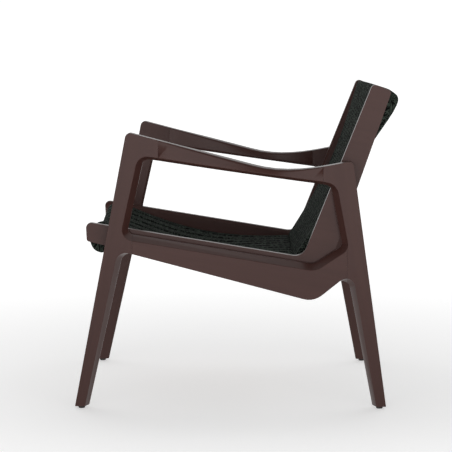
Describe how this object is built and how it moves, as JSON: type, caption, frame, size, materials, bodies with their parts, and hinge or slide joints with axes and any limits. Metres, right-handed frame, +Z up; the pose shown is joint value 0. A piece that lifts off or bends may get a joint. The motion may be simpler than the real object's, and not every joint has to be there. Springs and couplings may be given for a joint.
{
  "type": "wooden armchair",
  "caption": "Low wooden lounge armchair with open, splayed side frames, sculpted armrests, L-shaped side panels and a scooped, upholstered seat and reclined back.",
  "frame": {"origin": "on the floor, under the middle of the overall bounding box", "axes": "the sitter faces -X, +Y is the sitter's right, +Z is up"},
  "size_m": [0.7074, 0.652, 0.707],
  "materials": {
    "stained_wood": "satin lacquer over a dark red-brown stain",
    "plain_hardwood": "sanded, unfinished",
    "plywood": "sanded, sealed",
    "corded_textile": "dark-green woven cord, matt",
    "steel": "zinc-plated",
    "floor_glide": "matt"
  },
  "bodies": {
    "root": {"front_seat_rail": "plain_hardwood", "crease_rail": "plain_hardwood", "heel_rail": "plain_hardwood", "top_back_rail": "plain_hardwood", "seat_board": "plywood", "back_board": "plywood", "seat_pad": "corded_textile", "back_pad": "corded_textile", "outer_back": "corded_textile", "left_front_leg": "stained_wood", "left_rear_leg": "stained_wood", "left_side_rail": "stained_wood", "left_armrest": "stained_wood", "left_side_panel": "stained_wood", "left_front_arm_tenon": "plain_hardwood", "left_rear_arm_tenon": "plain_hardwood", "left_front_rail_tenon": "plain_hardwood", "left_rear_rail_tenon": "plain_hardwood", "left_front_glide": "floor_glide", "left_rear_glide": "floor_glide", "left_front_bolt": "steel", "left_front_insert": "steel", "left_middle_bolt": "steel", "left_middle_insert": "steel", "left_rear_bolt": "steel", "left_rear_insert": "steel", "left_upper_bolt": "steel", "left_upper_insert": "steel", "left_front_dowel": "plain_hardwood", "left_crease_fore_dowel": "plain_hardwood", "left_crease_aft_dowel": "plain_hardwood", "left_heel_dowel": "plain_hardwood", "left_top_dowel": "plain_hardwood", "right_front_leg": "stained_wood", "right_rear_leg": "stained_wood", "right_side_rail": "stained_wood", "right_armrest": "stained_wood", "right_side_panel": "stained_wood", "right_front_arm_tenon": "plain_hardwood", "right_rear_arm_tenon": "plain_hardwood", "right_front_rail_tenon": "plain_hardwood", "right_rear_rail_tenon": "plain_hardwood", "right_front_glide": "floor_glide", "right_rear_glide": "floor_glide", "right_front_bolt": "steel", "right_front_insert": "steel", "right_middle_bolt": "steel", "right_middle_insert": "steel", "right_rear_bolt": "steel", "right_rear_insert": "steel", "right_upper_bolt": "steel", "right_upper_insert": "steel", "right_front_dowel": "plain_hardwood", "right_crease_fore_dowel": "plain_hardwood", "right_crease_aft_dowel": "plain_hardwood", "right_heel_dowel": "plain_hardwood", "right_top_dowel": "plain_hardwood"}
  },
  "joints": []
}
